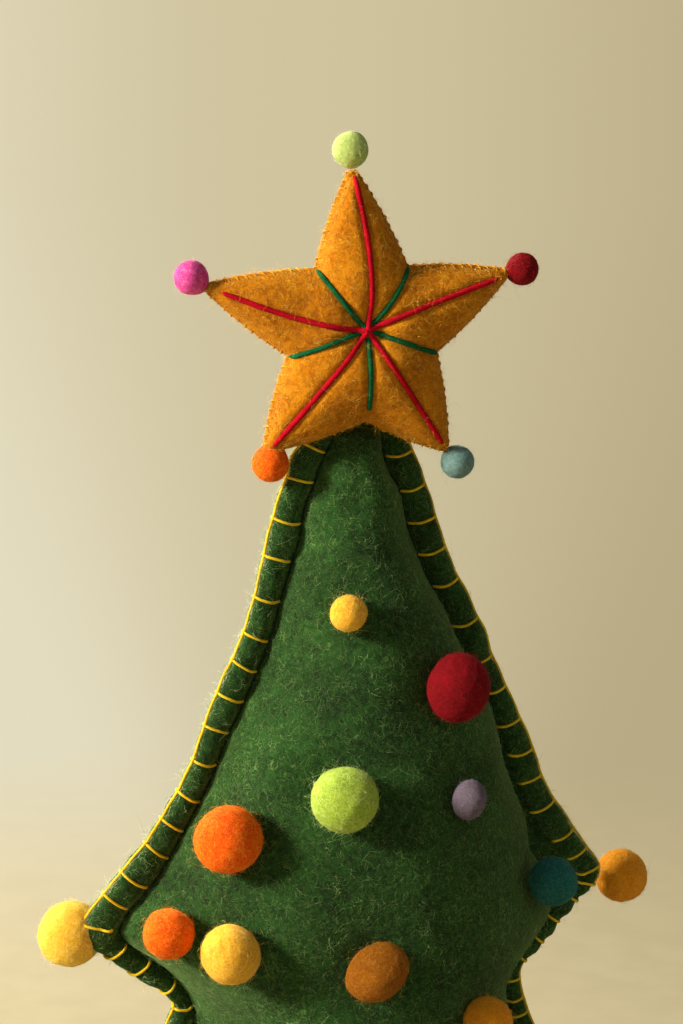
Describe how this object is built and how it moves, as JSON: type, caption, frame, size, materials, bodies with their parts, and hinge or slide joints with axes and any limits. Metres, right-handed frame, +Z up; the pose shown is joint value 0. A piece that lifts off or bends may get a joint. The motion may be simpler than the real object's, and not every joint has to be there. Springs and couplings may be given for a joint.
{
  "type": "felt christmas tree",
  "caption": "Stuffed green felt christmas tree with flared tiers, yellow blanket-stitched edges, wool felt balls and a padded mustard star, standing on a flat weighted foot.",
  "frame": {"origin": "middle of the flat underside of the foot, on the surface it stands on", "axes": "+Z up through the star, -Y towards the front that shows in the picture, +X to the right seen from the front"},
  "size_m": [0.2292, 0.1254, 0.3882],
  "materials": {
    "body_felt": "fuzzy wool felt, deep green with paler mottled fibres",
    "star_felt": "fuzzy wool felt, mustard",
    "filling": "loose fibre filling",
    "bag_cloth": "plain woven cotton",
    "board": "plain grey-brown board",
    "pellets": "small round pellets",
    "yarn_yellow": "twisted wool yarn",
    "yarn_red": "twisted wool yarn",
    "yarn_green": "twisted wool yarn",
    "thread_green": "cotton sewing thread",
    "thread_mustard": "cotton sewing thread",
    "ball_yellow": "felted wool, fuzzy",
    "ball_mustard": "felted wool, fuzzy",
    "ball_orange": "felted wool, fuzzy",
    "ball_red": "felted wool, fuzzy",
    "ball_lime": "felted wool, fuzzy",
    "ball_lavender": "felted wool, fuzzy",
    "ball_teal": "felted wool, fuzzy",
    "ball_pink": "felted wool, fuzzy",
    "ball_pale_blue": "felted wool, fuzzy"
  },
  "bodies": {
    "root": {"front_panel": "body_felt", "back_panel": "body_felt", "base_panel": "body_felt", "base_board": "board", "weight_bag": "bag_cloth", "weight_pellets": "pellets", "body_stuffing": "filling", "blanket_stitch_left": "yarn_yellow", "blanket_stitch_right": "yarn_yellow", "seam_thread_front_left": "thread_green", "seam_thread_front_right": "thread_green", "seam_thread_back_left": "thread_green", "seam_thread_back_right": "thread_green", "ball_front_yellow_small": "ball_yellow", "ball_front_red_large": "ball_red", "ball_front_lime_large": "ball_lime", "ball_front_lavender_small": "ball_lavender", "ball_front_orange_large": "ball_orange", "ball_front_orange_medium": "ball_orange", "ball_front_yellow_plump": "ball_yellow", "ball_front_mustard_plump": "ball_mustard", "ball_front_teal_medium": "ball_teal", "ball_front_mustard_medium": "ball_mustard", "ball_front_red_low": "ball_red", "ball_front_lime_low": "ball_lime", "ball_front_pink_low": "ball_pink", "ball_front_teal_low": "ball_teal", "ball_front_orange_low": "ball_orange", "ball_back_red_small": "ball_red", "ball_back_yellow_large": "ball_yellow", "ball_back_teal_large": "ball_teal", "ball_back_orange_small": "ball_orange", "ball_back_lime_medium": "ball_lime", "ball_back_pink_medium": "ball_pink", "ball_back_red_medium": "ball_red", "ball_back_mustard_large": "ball_mustard", "ball_back_lavender_medium": "ball_lavender", "ball_tip_upper_left": "ball_yellow", "ball_tip_upper_right": "ball_mustard", "ball_tip_lower_left": "ball_red", "ball_tip_lower_right": "ball_lime", "star_front_panel": "star_felt", "star_back_panel": "star_felt", "star_stuffing": "filling", "star_edge_thread": "thread_mustard", "star_yarn_green_front": "yarn_green", "star_yarn_red_front": "yarn_red", "star_yarn_green_back": "yarn_green", "star_yarn_red_back": "yarn_red", "star_ball_top": "ball_lime", "star_ball_left": "ball_pink", "star_ball_lower_left": "ball_orange", "star_ball_lower_right": "ball_pale_blue", "star_ball_right": "ball_red", "star_tie_left": "thread_mustard", "star_tie_right": "thread_mustard"}
  },
  "joints": []
}
